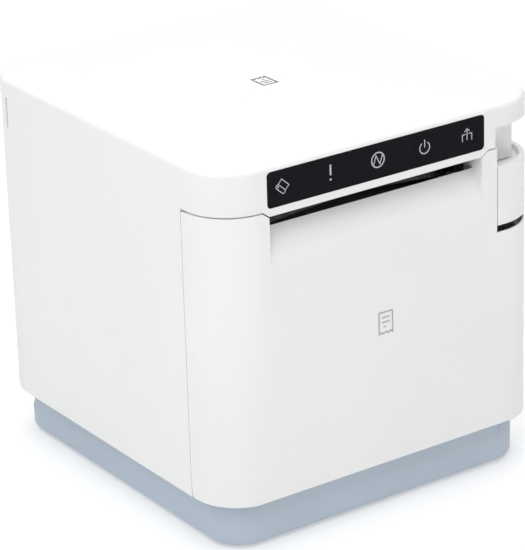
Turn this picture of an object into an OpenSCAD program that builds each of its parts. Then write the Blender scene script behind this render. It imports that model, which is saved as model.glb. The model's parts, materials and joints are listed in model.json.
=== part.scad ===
// Countertop receipt printer: a near-cubic body on a low base, with a front cover that
// folds forward, a release lever, a thermal print mechanism and a guillotine cutter.
// X runs to the right seen from the front, Y to the back and Z up. The origin is the
// middle of the footprint, on the table.

/* [Body] */
// Width of the body
body_w = 130; // [129:0.5:134]
// Depth of the body
body_d = 139; // [139:0.5:144]
// Height of the printer above the table
body_h = 130.5; // [130.5:0.5:134]
// Radius of the upright corners
corner_r = 16.5; // [14:0.5:17]
// Radius of the edge round the top
top_edge_r = 2; // [1:0.25:2.25]
// Wall thickness of the case and the cover
wall = 2.5; // [2.2:0.1:2.6]

/* [Base] */
// Height of the white body's lower edge above the table
base_top = 17; // [17:0.5:17.5]
// Height of the rubber feet below the base
foot_h = 1; // [0.5:0.25:1.5]
// How far the base is set in from the body, on each side
base_inset = 4.5; // [4:0.25:5]
// Radius of the base's upright corners
base_corner_r = 12; // [10:0.5:13]

/* [Front] */
// Height of the band above the cover
band_h = 14.5; // [14.5:0.1:15]
// Depth of the cover, from the front to the seam in the side wall
cover_d = 19.5; // [19:0.25:19.5]
// Gap above the cover
seam = 0.5; // [0.4:0.05:0.6]
// Gap behind the cover, in the side walls
side_seam = 0.3; // [0.3:0.05:0.6]
// Width of the status panel
panel_w = 85.2; // [84:0.2:86]
// Height of the status panel
panel_h = 12; // [11.5:0.1:12.2]
// Width of the paper recess
recess_w = 83.5; // [83:0.25:84]
// Depth of the paper recess at its upper end
recess_depth = 5; // [4:0.25:5]
// Height of the release lever's handle
lever_h = 20.4; // [19:0.2:21]

/* [Paper path] */
// Largest paper roll that fits
roll_d = 83; // [80:1:83]
// Radius of the rubber platen
platen_r = 6; // [5.6:0.1:6]
// Slope of the paper path at the print line, in degrees
path_tilt = 28; // [26:1:29]

/* [Gears] */
// Tooth size of the feed gears and the cutter drive
gear_m = 0.8; // [0.7:0.05:0.8]
// Teeth on the platen's gear
platen_teeth = 20; // [18:1:20]
// Teeth on the idler gear
idler_teeth = 24; // [22:1:24]
// Teeth on the motor's pinion and the cutter's pinion
pinion_teeth = 12; // [12:1:12]

/* [Hidden] */
$fn = 64;

// Outer faces of the body
side_x = body_w / 2;
front_y = -body_d / 2;
back_y = body_d / 2;
seam_z = body_h - band_h;
side_seam_y = front_y + cover_d;
top_wall = 2.5;

// Front cover: its edges and its hinge
cover_bottom = base_top + 0.2;
cover_top = seam_z - seam;
cover_back = side_seam_y - side_seam;
hinge_y = front_y + 5;
hinge_z = cover_bottom + 5;
swing_r = 93.75;
knuckle_x = [36.8, 39.7, 44.3, 47.2];
lug_x = [40, 44];
pin_r = 1.2;

// Paper recess in the cover, and the lip of the case above it
recess_x = [-45, recess_w - 45];
lip_z = seam_z - 1.9;
lip_run = 2.5;
ramp_z = 97.4;
ramp_arc = 10;
ramp_angle = 29;
ramp_h = 11.6;
cheek = 1.8;

// Status panel
panel_x = [-45.7, panel_w - 45.7];
panel_z = [seam_z + 0.6, seam_z + 0.6 + panel_h];
panel_face = front_y + 0.15;
panel_back = front_y + 1.6;
lamp_x = [-39.8, -21.5, -3.1];
key_x = [15.4, 32.5];
icon_z = seam_z + 6.9;
key_r = 4.15;

// Lever and the finger pocket above it
lever_x = [45.2, side_x];
lever_z = [109.1 - lever_h, 109.1];
lever_back = side_seam_y - 1.2;
ledge_z = [106, 107.5];
lever_gap_z = 86.3;
rim_t = 0.7;
rim_h = 4;
pocket_x = 44;
pocket_z = seam_z + 6.8;
pocket_in = 7.8;
pocket_wall = 1.5;
latch_y = -18;
latch_z = 112;
latch_r = 2;
hook_z = [104, 108];
hook_right_x = [41.3, 43.2];
hook_left_x = [-52, -49.4];
tab_z = [108.3, 113];
tab_y = [front_y + wall - 0.1, -59.4];
notch_y = [-63.2, -60.9];

// Chassis: inner faces of the two side plates
plate_t = 1.5;
plate_x = [-45.5, 39.5];
motor_plate_x = [44.8, 46];
floor_t = 1.4;

// Paper bin and the roll that lies in it
roll_y = 5;
roll_z = 65.5;
bin_r = roll_d / 2 + 1.5;
bin_x = [-44, 38];
bin_wall = 1.2;

// Print line: where the paper touches the head, and the platen below it
line_y = -44.8;
line_z = 98;
platen_x = [-42.5, 37];
shaft_r = 2.5;
fit = 0.05;

// Feed gears: the idler and the motor follow from the platen
platen_y = line_y - platen_r * sin(path_tilt);
platen_z = line_z - platen_r * cos(path_tilt);
gear_x = [41.3, 44.3];
mesh_gap = 0.1;
idler_dir = -25;
idler_run = gear_m * (platen_teeth + idler_teeth) / 2 + mesh_gap;
idler_y = platen_y + idler_run * cos(idler_dir);
idler_z = platen_z + idler_run * sin(idler_dir);
motor_dir = -60;
motor_run = gear_m * (idler_teeth + pinion_teeth) / 2 + mesh_gap;
motor_y = idler_y + motor_run * cos(motor_dir);
motor_z = idler_z + motor_run * sin(motor_dir);
idler_phase = mesh_phase(0, platen_teeth, idler_teeth, idler_dir);
motor_phase = mesh_phase(idler_phase, idler_teeth, pinion_teeth, motor_dir);

// Cutter: the blade slides in the plane across the path
blade_s = [-10.5, -9.5];
blade_t = [1.5, 13];
rack_x = [-1.5, 3.7];
rack_root = -9;
rack_tip = -7.6;
rack_pitch = PI * gear_m;
cut_pinion_s = -8.2 + gear_m * pinion_teeth / 2 + mesh_gap;
cut_pinion_t = 12;
cut_pinion_x = [-1, 3.2];

// Main board and the sockets on its rear face
board_y = [51.5, 53.1];
board_z = [24, 108];
socket_end = 68.6;
socket_z = 26;
io_half = 46;
io_z = [22, 46];
slit_z = [113.6, 124.3];
slit_back = 15.3;
screw_at = [[53, -43], [53, 38]];

// The block between two opposite corners
module box(low, high) {
    translate(low) cube(high - low);
}

// A rod along X from x[0] to x[1], at height z and depth y
module rod(x, y, z, r) {
    translate([x[0], y, z]) rotate([0, 90, 0]) cylinder(r = r, h = x[1] - x[0]);
}

// An outline drawn in depth and height, made solid from x[0] to x[1]
module across(x) {
    translate([x[0], 0, 0]) rotate([90, 0, 90]) linear_extrude(x[1] - x[0]) children();
}

// The frame of the print line: Y runs back along the paper, Z away from the platen
module at_line() {
    translate([0, line_y, line_z]) rotate([-path_tilt, 0, 0]) children();
}

module rounded_rect(w, d, r) {
    square([w - 2 * r, d], center = true);
    square([w, d - 2 * r], center = true);
    for (x = [-1, 1], y = [-1, 1])
        translate([x * (w / 2 - r), y * (d / 2 - r)]) circle(r);
}

// Upright outline with its two upper corners rounded
module edged_outline(w, h, edge) {
    translate([-w / 2, 0]) square([w, h - edge]);
    translate([edge - w / 2, 0]) square([w - 2 * edge, h]);
    for (x = [-1, 1]) translate([x * (w / 2 - edge), h - edge]) circle(edge);
}

// Block with round upright corners and a rounded upper edge
module rounded_block(w, d, h, r, edge) {
    rotate([90, 0, 0]) linear_extrude(d - 2 * r, center = true) edged_outline(w, h, edge);
    rotate([90, 0, 90]) linear_extrude(w - 2 * r, center = true) edged_outline(d, h, edge);
    for (x = [-1, 1], y = [-1, 1])
        translate([x * (w / 2 - r), y * (d / 2 - r), 0])
            rotate_extrude() intersection() {
                edged_outline(2 * r, h, edge);
                square([r + 1, h + 1]);
            }
}

module body_form() {
    translate([0, 0, base_top])
        rounded_block(body_w, body_d, body_h - base_top, corner_r, top_edge_r);
}

module body_hollow() {
    translate([0, 0, base_top - 1]) linear_extrude(body_h - top_wall - base_top + 1)
        rounded_rect(body_w - 2 * wall, body_d - 2 * wall, corner_r - wall);
}

// One gear tooth as [radius, angle] corners, about the middle of the tooth
function tooth(n) = let (r = gear_m * n / 2, a = 360 / n) [
    [r - 1.15 * gear_m, -0.31 * a], [r + 0.8 * gear_m, -0.13 * a],
    [r + 0.8 * gear_m, 0.13 * a], [r - 1.15 * gear_m, 0.31 * a]
];
function gear_outline(n) = [for (i = [0:n - 1]) for (p = tooth(n))
    p[0] * [cos(p[1] + i * 360 / n), sin(p[1] + i * 360 / n)]];

// Angle of the second gear's first tooth, so that it meshes with the first gear
function mesh_phase(phase, n1, n2, dir) =
    let (turns = (dir - phase) * n1 / 360) dir + 180 + (turns - floor(turns) + 0.5) * 360 / n2;

module gear(n, x, phase, bore) {
    across(x) difference() {
        rotate(phase) polygon(gear_outline(n));
        circle(bore);
    }
}

// ---- Case and base ----

module case_shell() {
    flange_z = base_top + 2;
    lip_x = [recess_x[0] - lip_run, recess_x[1] + lip_run];
    slit_y = back_y - slit_back;
    color("white") difference() {
        union() {
            difference() {
                body_form();
                body_hollow();
                box([-side_x - 1, front_y - 1, base_top - 1], [side_x + 1, side_seam_y, seam_z]);
                // finger pocket, open to the front and to the right
                box([pocket_x, front_y - 1, seam_z - 1], [side_x + 1, side_seam_y, pocket_z]);
            }
            // lip that hangs into the paper recess
            translate([0, front_y + wall, 0]) rotate([90, 0, 0]) linear_extrude(wall)
                polygon([
                    [lip_x[0], seam_z + 0.1], [lip_x[0], seam_z], [recess_x[0], lip_z],
                    [recess_x[1], lip_z], [lip_x[1], seam_z], [lip_x[1], seam_z + 0.1]
                ]);
            pocket_lining();
            // ledge round the lower edge, on which the base closes
            translate([0, 0, base_top]) linear_extrude(flange_z - base_top) difference() {
                rounded_rect(body_w - wall, body_d - wall, corner_r - wall / 2);
                square([body_w - 16, body_d - 16], center = true);
                translate([-side_x, front_y - 1]) square([body_w, side_seam_y - front_y + 1]);
            }
            for (s = [-1, 1], p = screw_at) {
                translate([s * p[0], p[1], base_top]) cylinder(r = 3.5, h = 13);
                translate([s * (side_x + p[0] - 1) / 2, p[1], base_top + 6.5])
                    cube([side_x - p[0] - 1, 2, 13], center = true);
            }
            // ribs that carry the panel's circuit board
            for (x = [-34, 24])
                box([x, front_y + wall + 0.1, panel_z[1] - 10], [x + 2, front_y + 5.5, 129]);
        }
        // seat of the status panel, and the opening behind it
        translate([0, panel_back, 0]) rotate([90, 0, 0]) linear_extrude(3)
            panel_outline();
        box([panel_x[0] + 1.5, front_y, panel_z[0] + 1],
            [panel_x[1] - 1.5, front_y + 3, panel_z[1] - 1]);
        // opening for the sockets at the back
        box([-io_half, back_y - 4, io_z[0]], [io_half, back_y + 1, io_z[1]]);
        for (s = [-1, 1])
            box([s * side_x - 4, slit_y - 0.5, slit_z[0]], [s * side_x + 4, slit_y + 0.5, slit_z[1]]);
        for (s = [-1, 1], p = screw_at)
            translate([s * p[0], p[1], base_top - 1]) cylinder(r = 1.2, h = 12);
    }
}

// Inner walls of the finger pocket, which close the case behind it
module pocket_lining() {
    back = front_y + pocket_in;
    right = side_x - pocket_in;
    low = ledge_z[1] + 0.4;
    high = pocket_z + pocket_wall;
    in_x = side_x - wall + 0.1;
    in_y = front_y + wall - 0.1;
    box([lever_x[0], back, low], [right, back + pocket_wall, high]);
    box([right - pocket_wall, back, low], [right, side_seam_y, high]);
    intersection() {
        box([pocket_x - 1, in_y, pocket_z], [in_x, side_seam_y + pocket_wall, high]);
        body_form();
    }
    box([pocket_x - pocket_wall, in_y, seam_z], [pocket_x, back + pocket_wall, high]);
    box([pocket_x - pocket_wall, back, seam_z], [lever_x[0] + 0.1, back + pocket_wall, high]);
    box([right - pocket_wall, side_seam_y, low], [in_x, side_seam_y + pocket_wall, high]);
}

module panel_outline() {
    r = 1.5;
    translate([(panel_x[0] + panel_x[1]) / 2, (panel_z[0] + panel_z[1]) / 2])
        rounded_rect(panel_x[1] - panel_x[0], panel_z[1] - panel_z[0], r);
}

module base_tray() {
    w = body_w - 2 * base_inset;
    d = body_d - 2 * base_inset;
    h = base_top - foot_h;
    edge = 2;
    tray_wall = 2.5;
    step = 0.6;
    color("lightsteelblue") difference() {
        union() {
            difference() {
                translate([0, 0, base_top]) mirror([0, 0, 1])
                    rounded_block(w, d, h, base_corner_r, edge);
                translate([0, 0, foot_h + tray_wall]) linear_extrude(h - 2 * tray_wall)
                    rounded_rect(w - 2 * tray_wall, d - 2 * tray_wall, base_corner_r - tray_wall);
                box([-40, -38, base_top - 4], [40, 46, base_top + 1]);
            }
            for (s = [-1, 1], p = screw_at)
                translate([s * p[0], p[1], foot_h + 0.5])
                    cylinder(r = 5.4, h = base_top - foot_h - 0.5);
        }
        // groove for the lower edge of the cover as it swings
        rod([-side_x, side_x], hinge_y, hinge_z, 7.15);
        // the upper part is set in a little round the back
        translate([0, 0, base_top / 2]) linear_extrude(base_top) difference() {
            translate([-side_x, d / 2 - base_corner_r + 3]) square([body_w, body_d]);
            rounded_rect(w - 2 * step, d - 2 * step, base_corner_r - step);
        }
        for (x = [-50, 50], y = [-53, 53])
            translate([x, y, foot_h - 1]) cylinder(r = 6, h = 1.4);
        for (s = [-1, 1], p = screw_at) {
            translate([s * p[0], p[1], foot_h]) cylinder(r = 1.6, h = base_top);
            translate([s * p[0], p[1], foot_h - 1]) cylinder(r = 3.2, h = 5);
        }
    }
}

module rubber_feet() {
    color("dimgray") for (x = [-50, 50], y = [-53, 53])
        translate([x, y, 0]) cylinder(r = 6, h = foot_h + 0.4);
}

module base_screws() {
    color("silver") for (s = [-1, 1], p = screw_at)
        translate([s * p[0], p[1], foot_h + 4]) {
            translate([0, 0, -1.6]) difference() {
                cylinder(r = 2.8, h = 1.6);
                translate([0, 0, 0.3]) cube([3.4, 0.7, 1.4], center = true);
                translate([0, 0, 0.3]) cube([0.7, 3.4, 1.4], center = true);
            }
            cylinder(r = 1.2, h = base_top - foot_h + 6);
        }
}

// ---- Chassis and paper bin ----

module chassis_floor() {
    riser_y = [hinge_y + 6, hinge_y + 9.5];
    lug_r = 2.2;
    lug_z = [hinge_z - lug_r, hinge_z + lug_r];
    color("silver") {
        box([-48, hinge_y + 7.5, base_top], [48, board_y[0] - 1.5, base_top + floor_t]);
        for (x = [side(-1, lug_x), side(1, lug_x)]) difference() {
            union() {
                rod(x, hinge_y, hinge_z, lug_r);
                box([x[0], hinge_y, lug_z[0]], [x[1], riser_y[1], lug_z[1]]);
                box([x[0], riser_y[0], base_top], [x[1], riser_y[1], lug_z[1]]);
            }
            rod(x + [-1, 1], hinge_y, hinge_z, pin_r);
        }
    }
}

// The same stretch of X on the right (s = 1) or mirrored to the left (s = -1)
function side(s, x) = s > 0 ? x : [-x[1], -x[0]];

module hinge_pins() {
    color("gray") for (s = [-1, 1])
        rod(side(s, [knuckle_x[0] + 0.2, knuckle_x[3] - 0.2]), hinge_y, hinge_z, pin_r);
}

module side_plate(x) {
    low = base_top + floor_t;
    color("silver") across(x) difference() {
        polygon([
            [-44, low], [board_y[0], low], [board_y[0], 113], [8, 118], [-36, 120], [-53.5, 118],
            [-53.5, 104.5], [-44, 101]
        ]);
        translate([latch_y, latch_z]) circle(latch_r + fit);
        translate([roll_y, roll_z]) circle(18);
    }
}

module side_plate_left() {
    side_plate([plate_x[0] - plate_t, plate_x[0]]);
}

module side_plate_right() {
    side_plate([plate_x[1], plate_x[1] + plate_t]);
}

module motor_plate() {
    color("silver") across(motor_plate_x) difference() {
        polygon([[-44, 58], [-4, 58], [-4, 92], [-12, 101], [-38, 101], [-44, 96]]);
        translate([motor_y, motor_z]) circle(3);
        translate([idler_y, idler_z]) circle(2);
    }
}

module plate_spacers() {
    color("darkgray") for (p = [[-40, 62], [-8, 62], [-12, 95]])
        rod([plate_x[1] + plate_t, motor_plate_x[0]], p[0], p[1], 2.5);
}

module chassis_brace() {
    color("silver") box([plate_x[0], -12, 111.5], [plate_x[1], 47, 112.7]);
}

module paper_bin() {
    low = base_top + floor_t;
    floor_z = roll_z - bin_r;
    rear = roll_y + bin_r;
    color("gainsboro") {
        for (x = [[bin_x[0] - bin_wall, bin_x[0]], [bin_x[1], bin_x[1] + bin_wall]])
            across(x) polygon([
                [-40, low], [rear + bin_wall, low], [rear + bin_wall, 104], [-18, 104],
                [-26, 92], [-40, 84]
            ]);
        across(bin_x) difference() {
            translate([-36, low]) square([rear + bin_wall + 36, 104 - low]);
            translate([roll_y, roll_z]) circle(bin_r);
            translate([-37, floor_z]) square([roll_y + 37, 104]);
            translate([-37, roll_z]) square([rear + 37, 104]);
        }
    }
}

module main_board() {
    color("seagreen") box([-50, board_y[0], board_z[0]], [50, board_y[1], board_z[1]]);
}

module board_components() {
    y = board_y[1];
    color("black") {
        box([-8, y, 66], [6, y + 1.6, 80]);
        box([16, y, 70], [27, y + 1.4, 78]);
        box([-30, y, 60], [-21, y + 1.4, 66]);
        box([-44, y, 88], [-30, y + 5, 92]);
        box([10, y, 96], [30, y + 5, 100]);
        for (x = [34, 42])
            translate([x, y, 58]) rotate([-90, 0, 0]) cylinder(r = 3.8, h = 11.5);
        translate([-38, y, 74]) rotate([-90, 0, 0]) cylinder(r = 3.2, h = 9);
    }
}

// The metal sheet behind the sockets
module io_plate() {
    y = back_y - wall;
    color("silver") difference() {
        box([-48, y - 1.2, base_top + 3.5], [48, y, 47.5]);
        for (s = [[36, 8.2], [14, 6.6], [-8, 8.4], [-31, 6.6]])
            box([s[0] - s[1], y - 2, socket_z - 0.4], [s[0] + s[1], y + 1, socket_z + 14]);
    }
}

// A socket's body, from the main board to just inside the case's rear face
module socket_body(x, half, h) {
    box([x - half, board_y[1], socket_z], [x + half, socket_end, socket_z + h]);
}

module dc_jack() {
    color("black") difference() {
        socket_body(36, 7.5, 13);
        translate([36, socket_end - 9, socket_z + 6.5]) rotate([-90, 0, 0]) cylinder(r = 5, h = 10);
    }
}

module usb_port() {
    color("silver") difference() {
        socket_body(14, 6, 11);
        box([9.8, socket_end - 9, socket_z + 1.6], [18.2, socket_end + 1, socket_z + 9.4]);
    }
    color("white")
        box([11.2, socket_end - 9, socket_z + 3.9], [16.8, socket_end - 1.5, socket_z + 7.1]);
}

module lan_port() {
    color("silver") difference() {
        socket_body(-8, 8, 13.3);
        box([-13.9, socket_end - 12, socket_z + 3.2], [-2.1, socket_end + 1, socket_z + 11.2]);
        box([-11, socket_end - 12, socket_z + 1.2], [-5, socket_end + 1, socket_z + 4]);
    }
}

module drawer_port() {
    color("black") difference() {
        socket_body(-31, 6.2, 13);
        box([-35.8, socket_end - 11, socket_z + 3.4], [-26.2, socket_end + 1, socket_z + 10.4]);
        box([-33, socket_end - 11, socket_z + 1.4], [-29, socket_end + 1, socket_z + 4]);
    }
}

// ---- Print head and feed motor ----

module print_head() {
    color("ivory") at_line() box([-42, -3, 0.15], [36.5, 11, 1.15]);
}

module head_heatsink() {
    color("lightgray") at_line() {
        box([-43.5, -4, 1.15], [37.5, 15, 2.9]);
        for (s = [-4, 4.8])
            box([-43.5, s, 2.9], [37.5, s + 6.2, 4.15]);
    }
}

module head_springs() {
    color("gray") at_line() for (x = [-25, 27]) translate([x, 7.9, 4.15]) difference() {
        cylinder(r = 2.5, h = 6);
        translate([0, 0, -1]) cylinder(r = 1.7, h = 8);
    }
}

module head_shaft() {
    color("silver") at_line() rod(plate_x, 13, 4.4, 1.5);
}

module head_bracket() {
    color("silver") at_line() {
        box([plate_x[0], 5, 10.15], [plate_x[1], 17, 11.35]);
        box([plate_x[0], 15.8, 11.35], [plate_x[1], 17, 14]);
    }
}

// Flat cable from the print head over the roll to the main board
module head_flex() {
    route = [[-29.9, 93.3], [-22, 98.6], [-16.5, 107], [46, 108.4], [51.5, 106]];
    thick = [0, 0.3];
    color("moccasin") across([-20, 10])
        polygon([for (p = route) p, for (i = [len(route) - 1:-1:0]) route[i] + thick]);
}

module feed_motor() {
    color("dimgray") {
        rod([motor_plate_x[1], motor_plate_x[1] + 14], motor_y, motor_z, 17.5);
        rod([motor_plate_x[0] + 0.2, motor_plate_x[1]], motor_y, motor_z, 2.9);
    }
}

module idler_pin() {
    color("silver") rod([plate_x[1] + plate_t, motor_plate_x[1]], idler_y, idler_z, 2);
}

// ---- Cutter ----

module cutter_frame() {
    color("silver") at_line() {
        box([plate_x[0], -11.9, 4], [plate_x[1], -10.7, 20]);
        for (x = [[plate_x[0], -43], [37.5, plate_x[1]]])
            box([x[0], -10.7, 4], [x[1], -8, 20]);
        // bracket of the cutter's motor
        difference() {
            box([rack_x[1] + 0.3, -8.9, 6], [rack_x[1] + 1.3, 3, 20]);
            translate([0, cut_pinion_s, cut_pinion_t]) rotate([0, 90, 0]) cylinder(r = 2, h = 9);
        }
        box([rack_x[1] + 0.3, -10.7, 14], [rack_x[1] + 1.3, -8.9, 20]);
    }
}

module cutter_motor() {
    color("gray") at_line() rod([rack_x[1] + 1.3, 26], cut_pinion_s, cut_pinion_t, 6);
}

// The blade's cutting edge is a shallow V, and its rack stands on the back
module moving_blade() {
    mid = (rack_x[0] + rack_x[1]) / 2;
    color("lightsteelblue") at_line() {
        translate([0, blade_s[1], 0]) rotate([90, 0, 0]) linear_extrude(blade_s[1] - blade_s[0])
            polygon([
                [-42, blade_t[0]], [-40, blade_t[0]], [mid, blade_t[0] + 2.5], [34.5, blade_t[0]],
                [36.5, blade_t[0]], [36.5, blade_t[1]], [-42, blade_t[1]]
            ]);
        box([rack_x[0], blade_s[1], 8], [rack_x[1], rack_root, 21]);
        across(rack_x) for (k = [-1:3]) translate([0, cut_pinion_t + k * rack_pitch])
            polygon([
                [rack_root - 0.1, -0.66], [rack_tip, -0.3], [rack_tip, 0.3], [rack_root - 0.1, 0.66]
            ]);
    }
}

module cutter_pinion() {
    color("goldenrod") at_line() translate([0, cut_pinion_s, cut_pinion_t]) {
        gear(pinion_teeth, cut_pinion_x, 180 / pinion_teeth, 1);
        rod([cut_pinion_x[0], rack_x[1] + 1.3], 0, 0, 1);
    }
}

// ---- Status panel ----

module panel_window() {
    color("midnightblue") difference() {
        translate([0, panel_back, 0]) rotate([90, 0, 0]) linear_extrude(panel_back - panel_face)
            panel_outline();
        for (x = key_x)
            translate([x, panel_back + 1, icon_z]) rotate([90, 0, 0]) cylinder(r = key_r + 0.1, h = 4);
    }
}

module panel_key(x) {
    stop = panel_back + 0.05;
    translate([x, panel_face, icon_z]) rotate([-90, 0, 0]) {
        cylinder(r = key_r, h = stop - panel_face + 0.2);
        translate([0, 0, stop - panel_face + 0.2]) cylinder(r = 1.2, h = 1.1);
    }
}

module power_key() {
    color("midnightblue") panel_key(key_x[0]);
}

module feed_key() {
    color("midnightblue") panel_key(key_x[1]);
}

module light_guides() {
    color("whitesmoke") for (x = lamp_x)
        translate([x, panel_back, icon_z]) rotate([-90, 0, 0]) cylinder(r = 2.6, h = 2.8);
}

module panel_board() {
    color("seagreen")
        box([-44, front_y + 5.5, panel_z[0] + 1.2], [37.8, front_y + 7.1, panel_z[1] - 1.4]);
}

module panel_leds() {
    color("white") for (x = lamp_x)
        box([x - 1.6, front_y + 4.6, icon_z - 1.4], [x + 1.6, front_y + 5.5, icon_z + 1.4]);
}

module key_switches() {
    color("black") for (x = key_x)
        box([x - 3, front_y + 3.6, icon_z - 3], [x + 3, front_y + 5.5, icon_z + 3]);
}

// ---- Sensors ----

module paper_end_sensor() {
    x = plate_x[0] - plate_t;
    color("black") box([x - 5, 22, 26], [x, 31, 35]);
}

module cover_switch() {
    x = plate_x[0] - plate_t;
    color("black") {
        box([x - 6, -43, 70], [x, -31, 80]);
        box([x - 4, -44.5, 74], [x - 2, -43, 76]);
    }
}

// ---- Front cover and what it carries ----

module front_cover() {
    right = lever_x[0] - 0.4;
    color("white") difference() {
        union() {
            intersection() {
                difference() {
                    body_form();
                    body_hollow();
                }
                box([-side_x - 1, front_y - 1, cover_bottom], [side_x + 1, cover_back, cover_top]);
            }
            paper_ramp();
            // cheeks beside the recess
            box([recess_x[0] - cheek, front_y + 1, ramp_z - 3], [recess_x[0], -60, lip_z - 0.7]);
            box([recess_x[1], front_y + 1, ramp_z - 3], [recess_x[1] + cheek, -60, lip_z - 0.7]);
            // wall beside the lever
            box([right - 1.2, front_y + 1, lever_gap_z - rim_h], [right, hinge_y + 2.5, cover_top]);
            // catches that the hooks hold
            cover_catch([hook_right_x[0] - 1.2, hook_right_x[1] + 0.5]);
            cover_catch([hook_left_x[0] - 1.4, hook_left_x[1] + 1.4]);
            cover_foot();
        }
        // opening over the recess, cut back round the lip
        translate([0, front_y + wall + 0.5, 0]) rotate([90, 0, 0]) linear_extrude(wall + 2)
            polygon([
                [recess_x[0], ramp_z + ramp_h], [recess_x[1], ramp_z + ramp_h],
                [recess_x[1], lip_z - 0.5], [recess_x[1] + lip_run, seam_z - 0.5],
                [recess_x[1] + lip_run, seam_z + 1], [recess_x[0] - lip_run, seam_z + 1],
                [recess_x[0] - lip_run, seam_z - 0.5], [recess_x[0], lip_z - 0.5]
            ]);
        ramp_clearance();
        // opening for the lever, and the thin rim below it
        box([right, front_y - 1, lever_gap_z], [side_x + 1, cover_back + 1, cover_top + 1]);
        intersection() {
            box([right, front_y, lever_gap_z - rim_h], [side_x, cover_back + 1, cover_top]);
            linear_extrude(body_h)
                rounded_rect(body_w - 2 * rim_t, body_d - 2 * rim_t, corner_r - rim_t);
        }
        swing_trim();
        for (s = [-1, 1])
            rod(side(s, [knuckle_x[0] - 1, knuckle_x[3] + 1]), hinge_y, hinge_z, pin_r + fit);
    }
}

// The smooth dip at the top of the cover that leads up to the paper slot
module paper_ramp() {
    start = [ramp_arc * (1 - cos(ramp_angle)), ramp_arc * sin(ramp_angle)];
    across(recess_x) translate([front_y, ramp_z]) intersection() {
        translate([0, -4]) square([recess_depth, ramp_h + 4]);
        union() {
            translate([ramp_arc, 0]) circle(ramp_arc);
            translate([0, -4]) square([recess_depth, 4]);
            polygon([start, [recess_depth, ramp_h], [recess_depth, 0], [start[0], 0]]);
        }
    }
}

// What the ramp removes from the front wall
module ramp_clearance() {
    start = [ramp_arc * (1 - cos(ramp_angle)), ramp_arc * sin(ramp_angle)];
    across(recess_x) translate([front_y, ramp_z]) difference() {
        translate([-1, 0]) square([recess_depth + 1, ramp_h + 1]);
        translate([ramp_arc, 0]) circle(ramp_arc);
        polygon([start, [recess_depth, ramp_h], [recess_depth + 1, ramp_h], [recess_depth + 1, 0],
            [start[0], 0]]);
    }
}

module cover_catch(x) {
    difference() {
        box([x[0], tab_y[0], tab_z[0]], [x[1], tab_y[1], tab_z[1]]);
        box([x[0] - 1, notch_y[0], tab_z[0] - 1], [x[1] + 1, notch_y[1], tab_z[0] + 1.7]);
    }
}

// Lower edge of the cover, with the knuckles beside the chassis lugs
module cover_foot() {
    gap = 0.3;
    difference() {
        box([-48, tab_y[0], cover_bottom], [48, -60, cover_bottom + 2]);
        for (s = [-1, 1])
            box([side(s, lug_x)[0] - gap, front_y, 0], [side(s, lug_x)[1] + gap, hinge_y + 15, 30]);
    }
    for (s = [-1, 1], x = [[knuckle_x[0], knuckle_x[1]], [knuckle_x[2], knuckle_x[3]]]) {
        rod(side(s, x), hinge_y, hinge_z, 3);
        box([side(s, x)[0], tab_y[0], cover_bottom], [side(s, x)[1], hinge_y + 2.6, hinge_z + 3]);
    }
}

// Rounds the corners that would foul the case and the base as the cover swings
module swing_trim() {
    across([-side_x - 1, side_x + 1]) {
        difference() {
            translate([hinge_y, 100]) square([20, 20]);
            translate([hinge_y, hinge_z]) circle(swing_r, $fn = 180);
        }
        difference() {
            translate([hinge_y + 5, 10]) square([20, hinge_z - 10]);
            translate([hinge_y, hinge_z]) circle(14.2);
        }
        polygon([[front_y - 1, 10], [front_y - 1, cover_bottom + 1.5], [front_y + 0.5, cover_bottom],
            [front_y + 0.5, 10]]);
    }
}

// Hollow moulding whose round back closes the paper bin
module cover_liner() {
    x = [bin_x[0] + 0.5, bin_x[1] - 0.5];
    y = [front_y + wall, -36];
    z = [28, 78];
    t = 2;
    color("dimgray") difference() {
        across(x) difference() {
            translate([y[0], z[0]]) square([y[1] - y[0], z[1] - z[0]]);
            translate([roll_y, roll_z]) circle(bin_r, $fn = 96);
        }
        // open below and towards the cover's wall
        across([x[0] + t, x[1] - t]) difference() {
            translate([y[0] - 1, z[0] - 1]) square([y[1] - y[0] + 1 - t, z[1] - z[0] + 1 - t]);
            translate([roll_y, roll_z]) circle(bin_r + t, $fn = 96);
        }
    }
}

module platen_frame() {
    ears = [[-45.3, -43.9], [37.9, 39.3]];
    color("dimgray") {
        at_line() {
            box([ears[0][0], -8, -16], [ears[1][1], 8, -13.6]);
            box([-43.5, -8, -13.6], [37.5, -6.6, -3]);
            for (x = ears) difference() {
                union() {
                    box([x[0], -8, -13.6], [x[1], 5, -platen_r]);
                    rod(x, 0, -platen_r, 5);
                }
                rod(x + [-1, 1], 0, -platen_r, 3.5);
            }
        }
        for (x = [-43.5, 34.5]) difference() {
            box([x, -57, 78], [x + 3, -48, 86]);
            at_line() box([x - 1, -20, -16], [x + 4, 20, 10]);
        }
    }
}

module platen_bushes() {
    color("ivory") for (x = [[-45.3, -43.2], [37.5, 39.3]]) difference() {
        rod(x, platen_y, platen_z, 3.5);
        rod(x + [-1, 1], platen_y, platen_z, shaft_r + fit);
    }
}

module fixed_blade() {
    color("lightsteelblue") at_line() box([-43, -9.4, -9], [37.5, -8, -0.3]);
}

// Black strip that leads the paper out over the cover's edge
module exit_guide() {
    edge_y = front_y + recess_depth;
    edge_z = ramp_z + ramp_h;
    run = 8.3;
    drop = 6.3;
    t = 1.8;
    foot = 2.9;
    color("black") across(recess_x) polygon([
        [edge_y, edge_z - 0.1], [edge_y + run, edge_z - drop], [edge_y + run, edge_z - drop - foot],
        [edge_y + run - t, edge_z - drop - foot], [edge_y + run - t, edge_z - drop - 1],
        [edge_y, edge_z - 2.3]
    ]);
}

// ---- Platen and feed gears ----

module platen_roller() {
    color("black") difference() {
        rod(platen_x, platen_y, platen_z, platen_r);
        rod(platen_x + [-1, 1], platen_y, platen_z, shaft_r);
    }
}

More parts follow.
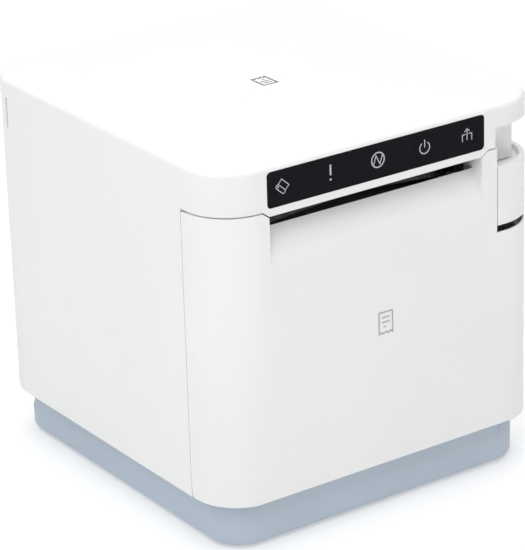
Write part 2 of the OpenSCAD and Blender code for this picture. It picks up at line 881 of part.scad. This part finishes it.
module platen_shaft() {
    color("silver") rod([-45.2, gear_x[1] + 0.3], platen_y, platen_z, shaft_r);
}

module platen_gear() {
    color("white") translate([0, platen_y, platen_z]) gear(platen_teeth, gear_x, 0, shaft_r);
}

module idler_gear() {
    color("white") translate([0, idler_y, idler_z]) gear(idler_teeth, gear_x, idler_phase, 2 + fit);
}

module motor_pinion() {
    color("goldenrod") translate([0, motor_y, motor_z]) {
        gear(pinion_teeth, gear_x, motor_phase, 1);
        rod([gear_x[0] - 0.2, motor_plate_x[0] + 0.2], 0, 0, 1);
    }
}

// ---- Release lever ----

module open_lever() {
    t = 2;
    color("white") {
        intersection() {
            difference() {
                body_form();
                translate([0, 0, -1]) linear_extrude(body_h)
                    rounded_rect(body_w - 2 * t, body_d - 2 * t, corner_r - t);
            }
            box([lever_x[0], front_y - 1, lever_z[0]], [side_x + 1, lever_back, lever_z[1]]);
        }
        intersection() {
            body_form();
            box([lever_x[0], front_y, ledge_z[0]], [side_x - 1, lever_back, ledge_z[1]]);
        }
        box([lever_x[0], front_y + 1, lever_z[0]], [lever_x[0] + 1.5, -62, ledge_z[1]]);
        box([hook_right_x[1], -60, hook_z[0]], [lever_x[0] + 3, -52, ledge_z[1]]);
    }
}

// Hook arm, from its hub on the shaft to the tooth that holds the cover
module hook_arm(x) {
    color("gray") difference() {
        across(x) {
            translate([latch_y, latch_z]) circle(4.5);
            polygon([
                [-64, hook_z[0]], [-31, hook_z[0]], [latch_y, latch_z - 4.5], [latch_y, latch_z + 4.5],
                [-31, hook_z[1]], [-61, hook_z[1]], [-61, tab_z[0] + 1.2], [-63, tab_z[0] + 1.2],
                [-63, hook_z[1]], [-64, hook_z[1]]
            ]);
        }
        rod(x + [-1, 1], latch_y, latch_z, latch_r);
    }
}

module latch_hook_left() {
    hook_arm(hook_left_x);
}

module latch_hook_right() {
    hook_arm(hook_right_x);
}

module latch_shaft() {
    color("silver") rod([hook_left_x[0] - 1, hook_right_x[1] + 1], latch_y, latch_z, latch_r);
}

// Coil round the shaft that returns the lever
module lever_spring() {
    color("gray") difference() {
        rod([-49, -47.2], latch_y, latch_z, 4);
        rod([-50, -46], latch_y, latch_z, 2.6);
    }
}

case_shell();
base_tray();
rubber_feet();
base_screws();
chassis_floor();
side_plate_left();
side_plate_right();
motor_plate();
plate_spacers();
chassis_brace();
paper_bin();
hinge_pins();
main_board();
board_components();
io_plate();
dc_jack();
usb_port();
lan_port();
drawer_port();
print_head();
head_heatsink();
head_springs();
head_shaft();
head_bracket();
head_flex();
feed_motor();
idler_pin();
cutter_frame();
cutter_motor();
panel_window();
light_guides();
panel_board();
panel_leds();
key_switches();
paper_end_sensor();
cover_switch();
lever_spring();
front_cover();
cover_liner();
platen_frame();
platen_bushes();
fixed_blade();
exit_guide();
platen_roller();
platen_shaft();
platen_gear();
motor_pinion();
idler_gear();
moving_blade();
cutter_pinion();
open_lever();
latch_shaft();
latch_hook_left();
latch_hook_right();
power_key();
feed_key();
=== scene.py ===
import json
import math

import bmesh
import bpy
from mathutils import Matrix, Vector


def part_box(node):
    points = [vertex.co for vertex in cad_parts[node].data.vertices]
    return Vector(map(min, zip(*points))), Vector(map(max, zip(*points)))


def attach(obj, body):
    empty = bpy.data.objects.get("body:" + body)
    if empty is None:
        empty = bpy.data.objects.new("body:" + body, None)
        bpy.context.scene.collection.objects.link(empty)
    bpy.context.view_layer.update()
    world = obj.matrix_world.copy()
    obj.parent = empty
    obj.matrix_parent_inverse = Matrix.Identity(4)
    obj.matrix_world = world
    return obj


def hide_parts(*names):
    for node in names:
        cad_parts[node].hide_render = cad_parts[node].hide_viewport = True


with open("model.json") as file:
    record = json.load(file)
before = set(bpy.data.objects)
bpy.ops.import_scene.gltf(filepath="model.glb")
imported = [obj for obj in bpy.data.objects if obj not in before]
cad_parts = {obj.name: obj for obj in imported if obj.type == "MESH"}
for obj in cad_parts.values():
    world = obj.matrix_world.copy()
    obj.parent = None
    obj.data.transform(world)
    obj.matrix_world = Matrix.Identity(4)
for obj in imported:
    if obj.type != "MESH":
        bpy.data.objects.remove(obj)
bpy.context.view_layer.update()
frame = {"nodes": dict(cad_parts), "record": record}
nodes = frame["nodes"]
MM = 0.001


# ---- Camera ----

SENSOR_WIDTH = 36
BODY_MIDDLE = (0, 0, 65.5)


def place_camera(azimuth, elevation, roll, lens, target, across, up, distance):
    """Looks from that direction past target, which across and up shift in the picture, in millimetres."""
    az, el, ro = (math.radians(v) for v in (azimuth, elevation, roll))
    back = Vector((math.sin(az) * math.cos(el), -math.cos(az) * math.cos(el), math.sin(el)))
    side = Vector((math.cos(az), math.sin(az), 0))
    over = back.cross(side)
    right = math.cos(ro) * side + math.sin(ro) * over
    top = math.cos(ro) * over - math.sin(ro) * side
    data = bpy.data.cameras.new("camera")
    data.lens = lens
    data.sensor_width = SENSOR_WIDTH
    data.clip_start = 50 * MM
    camera = bpy.data.objects.new("camera", data)
    bpy.context.scene.collection.objects.link(camera)
    camera.matrix_world = Matrix((right, top, back)).transposed().to_4x4()
    camera.location = (Vector(target) + right * across + top * up + back * distance) * MM
    bpy.context.scene.camera = camera


place_camera(azimuth=-34.398, elevation=22.364, roll=-1.75, lens=197.45, target=BODY_MIDDLE,
             across=-0.434, up=-4.275, distance=1019.9)
bpy.context.scene.view_settings.view_transform = "Standard"


# ---- Materials ----

def srgb(*values):
    """A colour given as 0 to 255, in the linear values that shaders take."""
    parts = [v / 255 for v in values]
    return [p / 12.92 if p <= 0.04045 else ((p + 0.055) / 1.055) ** 2.4 for p in parts] + [1]


NOISE_LOW, NOISE_HIGH = 0.3, 0.7      # the range that most of a noise texture's values lie in


class Shader:
    """A Principled material in the frame's own coordinates, with helpers for its detail."""

    def __init__(self, name, color, roughness, **sockets):
        self.material = bpy.data.materials.new(name)
        self.material.use_nodes = True
        self.tree = self.material.node_tree
        self.surface = self.tree.nodes["Principled BSDF"]
        self.surface.inputs["Base Color"].default_value = color
        self.surface.inputs["Roughness"].default_value = roughness
        for key, value in sockets.items():
            self.surface.inputs[key.replace("_", " ")].default_value = value
        self.color = color
        self.roughness = roughness
        self.place = self.node("ShaderNodeTexCoord").outputs["Object"]
        self.height = None

    def node(self, kind, **settings):
        made = self.tree.nodes.new(kind)
        for key, value in settings.items():
            setattr(made, key, value)
        return made

    def link(self, source, target):
        self.tree.links.new(source, target)

    def noise(self, size, detail=2.0, stretch=(1, 1, 1), rough=0.5):
        """Noise whose grains are about size millimetres across, drawn out along an axis by stretch."""
        mapping = self.node("ShaderNodeMapping")
        mapping.inputs["Scale"].default_value = [1 / (size * MM * s) for s in stretch]
        texture = self.node("ShaderNodeTexNoise")
        texture.inputs["Scale"].default_value = 1
        texture.inputs["Detail"].default_value = detail
        texture.inputs["Roughness"].default_value = rough
        self.link(self.place, mapping.inputs["Vector"])
        self.link(mapping.outputs["Vector"], texture.inputs["Vector"])
        return texture.outputs["Fac"]

    def ramp(self, value, low, high, start, end):
        """value mapped from the range low..high to start..end."""
        mapped = self.node("ShaderNodeMapRange")
        for key, number in (("From Min", low), ("From Max", high), ("To Min", start), ("To Max", end)):
            mapped.inputs[key].default_value = number
        self.link(value, mapped.inputs["Value"])
        return mapped.outputs["Result"]

    def tint(self, value, other, amount):
        """Mixes the colour towards other, by amount where value is high."""
        mix = self.node("ShaderNodeMix", data_type="RGBA")
        base = self.surface.inputs["Base Color"]
        if base.is_linked:
            self.link(base.links[0].from_socket, mix.inputs["A"])
        else:
            mix.inputs["A"].default_value = self.color
        mix.inputs["B"].default_value = other
        self.link(self.ramp(value, NOISE_LOW, NOISE_HIGH, 0, amount), mix.inputs["Factor"])
        self.link(mix.outputs["Result"], base)
        return self

    def uneven(self, value, spread):
        """Varies the roughness by spread either way."""
        low, high = max(self.roughness - spread, 0.02), min(self.roughness + spread, 1)
        self.link(self.ramp(value, NOISE_LOW, NOISE_HIGH, low, high), self.surface.inputs["Roughness"])
        return self

    def bump(self, value, depth, strength=1.0):
        """Raises the surface by as much as depth millimetres."""
        bump = self.node("ShaderNodeBump")
        bump.inputs["Strength"].default_value = strength
        bump.inputs["Distance"].default_value = depth * MM
        if self.height is not None:
            self.link(self.height, bump.inputs["Normal"])
        self.link(value, bump.inputs["Height"])
        self.height = bump.outputs["Normal"]
        self.link(self.height, self.surface.inputs["Normal"])
        return self


def darker(color, share):
    return [c * share for c in color[:3]] + [1]


def moulded(name, color, roughness, grain=0.35, depth=0.012, tone=0.96, **sockets):
    """Injection-moulded plastic: spark-eroded grain, faint flow and a slight change of tone."""
    shader = Shader(name, color, roughness, **sockets)
    shader.tint(shader.noise(60, 3), darker(color, tone), 1)
    shader.uneven(shader.noise(9, 4), 0.05)
    shader.bump(shader.noise(18, 2), depth * 2, 0.4)
    shader.bump(shader.noise(grain, 3, rough=0.65), depth, 0.55)
    return shader.material


def polished(name, color, roughness, **sockets):
    """Hard gloss moulding or film with a trace of orange peel and handling marks."""
    shader = Shader(name, color, roughness, **sockets)
    shader.tint(shader.noise(25, 3), darker(color, 0.75), 0.8)
    shader.uneven(shader.noise(6, 5), 0.05)
    shader.bump(shader.noise(5, 2), 0.004, 0.3)
    return shader.material


def rolled(name, color, roughness, stretch=(18, 1, 1), grain=0.25, depth=0.006, **sockets):
    """Bare metal with fine lines along one axis and a faint cloud of zinc or wear."""
    shader = Shader(name, color, roughness, Metallic=1, **sockets)
    shader.tint(shader.noise(14, 4), darker(color, 0.72), 0.7)
    shader.tint(shader.noise(2.2, 2), darker(color, 1.08), 0.4)
    shader.uneven(shader.noise(grain * 2, 3, stretch), 0.09)
    shader.bump(shader.noise(grain, 3, stretch), depth, 0.6)
    return shader.material


def rubber(name, color, roughness, grain=0.3):
    """Matte rubber with a ground, slightly dusty face."""
    shader = Shader(name, color, roughness)
    shader.tint(shader.noise(4, 5), darker(color, 1.9), 0.45)
    shader.uneven(shader.noise(2, 3), 0.08)
    shader.bump(shader.noise(grain, 4, rough=0.7), 0.03, 0.7)
    return shader.material


def laminate(name, color):
    """Circuit board: solder mask over copper tracks that run along and across it."""
    shader = Shader(name, color, 0.35, Specular_IOR_Level=0.5)
    tracks = shader.node("ShaderNodeTexBrick", offset=0.35)
    tracks.inputs["Scale"].default_value = 160
    tracks.inputs["Mortar Size"].default_value = 0.035
    tracks.inputs["Color1"].default_value = (0, 0, 0, 1)
    tracks.inputs["Color2"].default_value = (0.3, 0.3, 0.3, 1)
    tracks.inputs["Mortar"].default_value = (1, 1, 1, 1)
    turn = shader.node("ShaderNodeMapping")
    turn.inputs["Rotation"].default_value = (math.radians(90), 0, 0)
    shader.link(shader.place, turn.inputs["Vector"])
    shader.link(turn.outputs["Vector"], tracks.inputs["Vector"])
    shader.tint(tracks.outputs["Color"], [color[0] * 1.8, color[1] * 1.7, color[2] * 1.5, 1], 0.8)
    shader.tint(shader.noise(8, 3), darker(color, 0.7), 0.5)
    shader.bump(tracks.outputs["Color"], 0.03, 0.5)
    return shader.material


def film(name, color):
    """Polyimide film with copper conductors that run along the cable."""
    shader = Shader(name, color, 0.3, Specular_IOR_Level=0.6)
    stripes = shader.node("ShaderNodeTexWave", bands_direction="X", wave_profile="SIN")
    stripes.inputs["Scale"].default_value = 320
    shader.link(shader.place, stripes.inputs["Vector"])
    shader.tint(stripes.outputs["Fac"], darker(color, 0.55), 0.8)
    shader.tint(shader.noise(5, 2), darker(color, 1.2), 0.3)
    shader.bump(stripes.outputs["Fac"], 0.04, 0.4)
    return shader.material


WHITE = srgb(240, 240, 239)
SLATE = srgb(185, 198, 211)
INK = srgb(196, 199, 203)

# One finish for each material slot of the record.
finish = {
    "case_white": moulded("case_white", WHITE, 0.5, grain=0.4, depth=0.014, tone=0.975,
                          Specular_IOR_Level=0.35),
    "base_slate": moulded("base_slate", SLATE, 0.55, grain=0.4, depth=0.016, tone=0.94),
    "foot_rubber": rubber("foot_rubber", srgb(46, 46, 48), 0.85),
    "sheet_steel": rolled("sheet_steel", srgb(196, 198, 200), 0.38),
    "steel_rod": rolled("steel_rod", srgb(206, 208, 212), 0.24, stretch=(1, 12, 12)),
    "blade_steel": rolled("blade_steel", srgb(96, 99, 105), 0.28, stretch=(1, 1, 14)),
    "screw_steel": rolled("screw_steel", srgb(190, 190, 194), 0.34, stretch=(1, 1, 4)),
    "dark_plastic": moulded("dark_plastic", srgb(58, 59, 62), 0.6, grain=0.5, depth=0.03, tone=0.85),
    "black_plastic": moulded("black_plastic", srgb(30, 30, 32), 0.5, grain=0.3, depth=0.015, tone=0.8),
    "bin_grey": moulded("bin_grey", srgb(206, 208, 209), 0.55, grain=0.5, depth=0.02, tone=0.95),
    "circuit_board": laminate("circuit_board", srgb(24, 96, 62)),
    "socket_metal": rolled("socket_metal", srgb(208, 208, 204), 0.26, stretch=(1, 6, 1)),
    "head_ceramic": polished("head_ceramic", srgb(226, 224, 214), 0.22),
    "heatsink_alu": rolled("heatsink_alu", srgb(66, 68, 71), 0.45, stretch=(26, 1, 1)),
    # Satin black paint on the motor. It is also painted shade: it is kept this dark and dull because the
    # cutter frame behind the exit slot wears it, so the slot reads as dark as the shade inside it.
    "motor_steel": polished("motor_steel", srgb(34, 35, 37), 0.45, Metallic=0.1, Specular_IOR_Level=0.3),
    "panel_gloss": polished("panel_gloss", srgb(17, 18, 23), 0.16, Specular_IOR_Level=0.06),
    "lamp_clear": polished("lamp_clear", srgb(226, 230, 230), 0.2, Transmission_Weight=0.35),
    "platen_rubber": rubber("platen_rubber", srgb(36, 36, 38), 0.7, grain=0.18),
    "gear_acetal": moulded("gear_acetal", srgb(232, 229, 218), 0.4, grain=0.6, depth=0.01, tone=0.95),
    "gear_brass": rolled("gear_brass", srgb(206, 170, 98), 0.28, stretch=(1, 8, 8)),
    "hook_grey": moulded("hook_grey", srgb(122, 125, 130), 0.5, grain=0.4, depth=0.02, tone=0.9),
    "flex_amber": film("flex_amber", srgb(206, 138, 52)),
}
printed = polished("printed_ink", INK, 0.45)
contact_gold = rolled("contact_gold", srgb(226, 186, 96), 0.2, stretch=(1, 10, 1))

slot_of = {part["node"]: part["material_slot"] for part in frame["record"]["subparts"]}
for name, piece in nodes.items():
    for place in piece.material_slots:
        place.material = finish[slot_of[name]]


# ---- Edges of the CAD parts ----

def soften(piece, width, segments=3, angle=32):
    """Rounds a CAD part's sharp edges by modifiers, which leave its own mesh as it is."""
    weld = piece.modifiers.new("weld", "WELD")
    weld.merge_threshold = 0.002 * MM
    bevel = piece.modifiers.new("bevel", "BEVEL")
    bevel.width = width * MM
    bevel.segments = segments
    bevel.limit_method = "ANGLE"
    bevel.angle_limit = math.radians(angle)
    bevel.use_clamp_overlap = True
    bevel.harden_normals = True


for name, width in (
    ("case_shell", 0.25), ("front_cover", 0.25), ("open_lever", 0.3), ("base_tray", 0.3),
    ("panel_window", 0.12), ("cover_liner", 0.4), ("platen_frame", 0.3), ("io_plate", 0.15),
    ("dc_jack", 0.2), ("usb_port", 0.15), ("lan_port", 0.15), ("drawer_port", 0.2),
    ("paper_bin", 0.25), ("rubber_feet", 0.3), ("hinge_pins", 0.15), ("exit_guide", 0.15),
):
    soften(nodes[name], width)


# ---- Building pieces ----

def piece_from(name, mesh_data, body, material, smooth=False):
    """Makes a piece from a bmesh and lets it ride on a body."""
    mesh = bpy.data.meshes.new(name)
    mesh_data.normal_update()
    mesh_data.to_mesh(mesh)
    mesh_data.free()
    for face in mesh.polygons:
        face.use_smooth = smooth
    mesh.materials.append(material)
    made = bpy.data.objects.new(name, mesh)
    bpy.context.scene.collection.objects.link(made)
    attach(made, body)
    return made


def ribbon(target, path, width, place, thick, closed=False):
    """Adds a flat stroke along path; place(u, v, w) gives the point w above the printed face."""
    count = len(path)
    rows = []
    for i, point in enumerate(path):
        before = path[i - 1] if closed or i else path[0]
        after = path[(i + 1) % count] if closed or i < count - 1 else path[-1]
        into = (Vector(point) - Vector(before)).normalized() if point != before else None
        out = (Vector(after) - Vector(point)).normalized() if point != after else None
        into, out = into or out, out or into
        mid = (into + out).normalized()
        normal = Vector((-mid.y, mid.x)) * (width / 2 / max(0.5, mid.dot(into)))
        sides = (Vector(point) + normal, Vector(point) - normal)
        rows.append([target.verts.new(place(s.x, s.y, w)) for s in sides for w in (0, thick)])
    steps = range(count) if closed else range(count - 1)
    for i in steps:
        a, b = rows[i], rows[(i + 1) % count]
        for j, k in ((0, 1), (1, 3), (3, 2), (2, 0)):
            target.faces.new((a[j], b[j], b[k], a[k]))
    if not closed:
        for row in (rows[0], rows[-1]):
            target.faces.new((row[0], row[1], row[3], row[2]))
    bmesh.ops.recalc_face_normals(target, faces=target.faces)


def arc(center, radius, start, end, steps=40):
    """Points on a circle from one angle to another, in degrees."""
    turn = [math.radians(start + (end - start) * i / steps) for i in range(steps + 1)]
    return [(center[0] + radius * math.cos(a), center[1] + radius * math.sin(a)) for a in turn]


def ring(center, radius, steps=48):
    return arc(center, radius, 0, 360, steps)[:-1]


def turned(path, angle, about=(0, 0)):
    """The path turned by angle degrees."""
    c, s = math.cos(math.radians(angle)), math.sin(math.radians(angle))
    return [(about[0] + c * (x - about[0]) - s * (y - about[1]),
             about[1] + s * (x - about[0]) + c * (y - about[1])) for x, y in path]


INK_THICK = 0.03


def on_front(x, z, y):
    """A printed face that looks to the front: (x, z) is its middle and y its depth, in millimetres."""
    return lambda u, v, w: Vector((x + u, y - w, z + v)) * MM


def print_icon(name, body, strokes, place):
    """strokes is a list of (path, width, closed)."""
    target = bmesh.new()
    for path, width, closed in strokes:
        ribbon(target, path, width, place, INK_THICK, closed)
    return piece_from(name, target, body, printed)


# ---- Printed icons on the status panel ----

window = [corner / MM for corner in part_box("panel_window")]
panel_y = window[0].y - 0.01                         # the ink starts just proud of the window
icon_z = (window[0].z + window[1].z) / 2 + 0.3
lamp_x = {"paper": -39.8, "fault": -21.5, "ready": -3.1}
key_middle = {name: (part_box(name)[0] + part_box(name)[1]) / 2 / MM for name in ("power_key", "feed_key")}


def icon_paper():
    """A roll of paper with its free end standing up, tilted."""
    half, top, foot, r, tall, tilt = 2.0, 1.65, -1.75, 0.5, 1.4, -42
    inner, high, low = half - r, foot + tall - r, foot + r
    corners = ((inner, high), (-inner, high), (-inner, low), (inner, low))
    roll = [(x + r * math.cos(t), z + r * math.sin(t))
            for q, (x, z) in enumerate(corners) for t in (math.tau * (q / 4 + i / 24) for i in range(7))]
    sheet = [(0.2 - half, foot + tall), (0.2 - half, top), (half - 0.2, top), (half - 0.2, foot + tall)]
    strokes = [
        (turned(roll, tilt), 0.24, True),
        (turned(sheet, tilt), 0.24, False),
        (turned(ring((0.75 - half, foot + tall / 2), 0.28, 16), tilt), 0.18, True),
    ]
    print_icon("icon_paper", "root", strokes, on_front(lamp_x["paper"], icon_z, panel_y))


def icon_fault():
    bar = [(0, -0.75), (0, 2.75)]
    dot = [(0, -2.5), (0, -1.85)]
    print_icon("icon_fault", "root", [(bar, 0.62, False), (dot, 0.68, False)],
               on_front(lamp_x["fault"], icon_z, panel_y))


def icon_ready():
    bolt = [(-1.75, -1.45), (-0.75, 1.5), (0.75, -1.5), (1.75, 1.45)]
    print_icon("icon_ready", "root", [(ring((0, 0), 2.45), 0.42, True), (bolt, 0.4, False)],
               on_front(lamp_x["ready"], icon_z, panel_y))


def icon_power():
    middle = key_middle["power_key"]
    strokes = [(arc((0, -0.25), 1.95, 125, 415, 44), 0.36, False), ([(0, -0.1), (0, 2.4)], 0.38, False)]
    print_icon("icon_power", "power_button", strokes, on_front(middle.x, middle.z, panel_y))


def icon_feed():
    """An arrow that lifts the paper through a slot."""
    middle = key_middle["feed_key"]
    strokes = [
        ([(0, -1.6), (0, 2.2)], 0.3, False),
        ([(-1.0, 1.25), (0, 2.3), (1.0, 1.25)], 0.3, False),
        ([(-1.9, -1.9), (-1.9, 0.45), (-0.6, 0.45)], 0.3, False),
        ([(1.9, -1.9), (1.9, 0.45), (0.6, 0.45)], 0.3, False),
    ]
    print_icon("icon_feed", "feed_button", strokes, on_front(middle.x, middle.z, panel_y))


icon_paper()
icon_fault()
icon_ready()
icon_power()
icon_feed()


# ---- Generic printed mark, a receipt with three lines, on the cover and on the top ----

MARK_SIZE = 7.5


def receipt_mark(name, body, place, size):
    """A sheet with a torn foot and three lines of print, the last one short."""
    teeth = 6
    half, tall = 0.36 * size, 0.5 * size
    foot = [(half - 2 * half * i / teeth, -tall + (0.09 * size if i % 2 else 0)) for i in range(teeth + 1)]
    outline = [(-half, tall), (half, tall)] + foot
    strokes = [(outline, 0.075 * size, True)]
    for i, (start, end) in enumerate(((-0.62, 0.62), (-0.62, 0.62), (-0.36, 0))):
        z = tall * (0.52 - 0.44 * i)
        strokes.append(([(start * half, z), (end * half, z)], 0.07 * size, False))
    print_icon(name, body, strokes, place)


def on_top(x, y, z):
    """A printed face that looks up and is read from behind: (x, y) is its middle and z its height."""
    return lambda u, v, w: Vector((x - u, y - v, z + w)) * MM


front_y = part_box("front_cover")[0].y / MM
top_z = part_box("case_shell")[1].z / MM
receipt_mark("cover_mark", "cover", on_front(-1, 67, front_y + INK_THICK), MARK_SIZE)
receipt_mark("top_mark", "root", on_top(1, -2, top_z - INK_THICK), MARK_SIZE)


# ---- Contacts in the sockets ----

def bars(name, material, boxes):
    """One piece made of small bars with chamfered edges, given as opposite corners in millimetres."""
    target = bmesh.new()
    for low, high in boxes:
        low, high = Vector(low) * MM, Vector(high) * MM
        made = bmesh.ops.create_cube(target, size=1)["verts"]
        bmesh.ops.scale(target, vec=high - low, verts=made)
        bmesh.ops.translate(target, vec=(low + high) / 2, verts=made)
        edges = {edge for vertex in made for edge in vertex.link_edges}
        bmesh.ops.bevel(target, geom=list(edges), offset=min(high - low) * 0.2, segments=2, affect="EDGES")
    return piece_from(name, target, "root", material)


def contact_row(name, port, count, pitch, size, start, levels):
    """Contacts in a socket, count to a row. start is the first one's corner from the port's lowest corner
    in x and from its mouth in y; levels are the rows' heights over the port's lowest corner."""
    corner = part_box(port)[0] / MM
    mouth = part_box("lan_port")[1].y / MM
    boxes = []
    for i in range(count):
        for level in levels:
            low = Vector((corner.x + start[0] + pitch * i, mouth + start[1], corner.z + level))
            boxes.append((low, low + Vector(size)))
    bars(name, contact_gold, boxes)


contact_row("lan_contacts", "lan_port", 7, 1.02, (0.45, 7.3, 0.5), (4.5, -9.5), (10.2,))
contact_row("drawer_contacts", "drawer_port", 6, 1.02, (0.45, 6.8, 0.5), (3.4, -9.0), (9.5,))
contact_row("usb_contacts", "usb_port", 2, 2.6, (1.4, 6.0, 0.3), (3.9, -8.0), (3.62, 7.08))


# ---- Wound springs in place of the plain tubes ----

def wire(target, path, radius, sides=8):
    """Adds a round wire along path, in millimetres."""
    turn = [math.tau * j / sides for j in range(sides)]
    rows = []
    first = None
    for i, point in enumerate(path):
        ahead = (Vector(path[min(i + 1, len(path) - 1)]) - Vector(path[max(i - 1, 0)])).normalized()
        first = (first - ahead * first.dot(ahead) if rows else ahead.orthogonal()).normalized()
        second = ahead.cross(first)
        rim = [Vector(point) + radius * (first * math.cos(a) + second * math.sin(a)) for a in turn]
        rows.append([target.verts.new(corner * MM) for corner in rim])
    for a, b in zip(rows, rows[1:]):
        for j in range(sides):
            target.faces.new((a[j], b[j], b[(j + 1) % sides], a[(j + 1) % sides]))
    target.faces.new(rows[0])
    target.faces.new(list(reversed(rows[-1])))
    bmesh.ops.recalc_face_normals(target, faces=target.faces)


def coil(start, end, radius, turns, steps=18):
    """Points of a helix round the line from start to end."""
    start, end = Vector(start), Vector(end)
    ahead = (end - start).normalized()
    first = ahead.orthogonal().normalized()
    second = ahead.cross(first)
    total = int(turns * steps)
    points = []
    for i in range(total + 1):
        angle = math.tau * i / steps
        outward = first * math.cos(angle) + second * math.sin(angle)
        points.append(start + (end - start) * i / total + radius * outward)
    return points


WIRE_RADIUS = 0.3
HEAD_TILT = 28                       # degrees that the print head leans back
PRINT_LINE = Vector((0, -44.8, 98))  # where the head meets the platen
SPRING_FOOT = (7.9, 4.5)             # from the print line: along the tilted head, and away from its face
SPRING_X = (-25, 27)
HEAD_COIL = {"length": 5.3, "radius": 2.1, "turns": 5}
LEVER_COIL = {"radius": 3.3, "turns": 2.5}
LEVER_COIL_MARGIN = 0.35             # kept at either end of the CAD tube


def head_coils():
    tilt = math.radians(HEAD_TILT)
    back, away = Vector((0, math.cos(tilt), -math.sin(tilt))), Vector((0, math.sin(tilt), math.cos(tilt)))
    target = bmesh.new()
    for x in SPRING_X:
        foot = PRINT_LINE + Vector((x, 0, 0)) + back * SPRING_FOOT[0] + away * SPRING_FOOT[1]
        end = foot + away * HEAD_COIL["length"]
        wire(target, coil(foot, end, HEAD_COIL["radius"], HEAD_COIL["turns"]), WIRE_RADIUS)
    head = piece_from("head_coils", target, "root", finish["steel_rod"], smooth=True)
    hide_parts("head_springs")


def lever_coil():
    low, high = (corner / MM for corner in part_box("lever_spring"))
    mid = (low + high) / 2
    start = (low.x + LEVER_COIL_MARGIN, mid.y, mid.z)
    end = (high.x - LEVER_COIL_MARGIN, mid.y, mid.z)
    target = bmesh.new()
    wire(target, coil(start, end, LEVER_COIL["radius"], LEVER_COIL["turns"]), WIRE_RADIUS)
    turn = piece_from("lever_coil", target, "root", finish["steel_rod"], smooth=True)
    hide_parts("lever_spring")


head_coils()
lever_coil()


# ---- Blank rating plate under the base ----

PLATE_HALF_WIDTH, PLATE_HALF_DEPTH, PLATE_RADIUS, PLATE_THICK = 27, 17, 2, 0.12


def rating_plate():
    target = bmesh.new()
    w, d, r = PLATE_HALF_WIDTH, PLATE_HALF_DEPTH, PLATE_RADIUS
    rim = [(sx * (w - r) + r * math.cos(a), sy * (d - r) + r * math.sin(a))
           for sx, sy, q in ((1, 1, 0), (-1, 1, 1), (-1, -1, 2), (1, -1, 3))
           for a in (math.tau * (q / 4 + i / 32) for i in range(9))]
    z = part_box("base_tray")[0].z / MM
    low = [target.verts.new(Vector((x, y, z - PLATE_THICK)) * MM) for x, y in rim]
    high = [target.verts.new(Vector((x, y, z)) * MM) for x, y in rim]
    target.faces.new(low)
    target.faces.new(high)
    for i in range(len(rim)):
        j = (i + 1) % len(rim)
        target.faces.new((low[i], low[j], high[j], high[i]))
    bmesh.ops.recalc_face_normals(target, faces=target.faces)
    piece_from("rating_plate", target, "root",
               polished("plate_film", srgb(214, 216, 219), 0.4, Metallic=0.4))


rating_plate()


# ---- Floor and light ----

FLOOR_REACH = 6
FLOOR_GLOW = 0.34        # lifts the floor to white without washing out the sides


def floor():
    target = bmesh.new()
    corners = ((-1, -1), (1, -1), (1, 1), (-1, 1))
    target.faces.new([target.verts.new((FLOOR_REACH * x, FLOOR_REACH * y, 0)) for x, y in corners])
    mesh = bpy.data.meshes.new("floor")
    target.to_mesh(mesh)
    target.free()
    shader = Shader("floor", srgb(214, 213, 212), 0.9, Specular_IOR_Level=0.1,
                    Emission_Color=(1, 1, 1, 1), Emission_Strength=FLOOR_GLOW)
    shader.tint(shader.noise(400, 2), srgb(211, 211, 212), 1)
    mesh.materials.append(shader.material)
    made = bpy.data.objects.new("floor", mesh)
    bpy.context.scene.collection.objects.link(made)


def place_light(name, kind, energy, direction, color):
    """A light that shines from direction. Returns the light's data and its object."""
    data = bpy.data.lights.new(name, kind)
    data.energy = energy
    data.color = color
    lamp = bpy.data.objects.new(name, data)
    lamp.rotation_mode = "QUATERNION"
    lamp.rotation_quaternion = Vector(direction).to_track_quat("Z", "Y")
    bpy.context.scene.collection.objects.link(lamp)
    return data, lamp


def sun(name, strength, direction, spread, color=(1, 1, 1)):
    """A broad light, spread degrees wide."""
    data, _ = place_light(name, "SUN", strength, direction, color)
    data.angle = math.radians(spread)


def softbox(name, watts, direction, away, size, color):
    """A square light of size metres, away metres from the printer's middle, that faces it."""
    data, lamp = place_light(name, "AREA", watts, direction, color)
    data.size = size
    lamp.location = Vector((0, 0, 0.065)) + Vector(direction).normalized() * away


def sky(strength, color):
    world = bpy.data.worlds.new("sky")
    world.use_nodes = True
    light = world.node_tree.nodes["Background"]
    light.inputs["Color"].default_value = color
    light.inputs["Strength"].default_value = strength
    bpy.context.scene.world = world


floor()
sky(0.24, srgb(253, 254, 255))
sun("overhead", 2.68, direction=(0, 0.05, 1), spread=80)
softbox("key", 1.9, direction=(-0.66, -0.47, 0.6), away=0.9, size=0.5, color=(0.92, 0.97, 1.0))
sun("fill", 0.22, direction=(0.5, -0.72, 0.48), spread=50, color=(1.0, 0.9, 0.82))
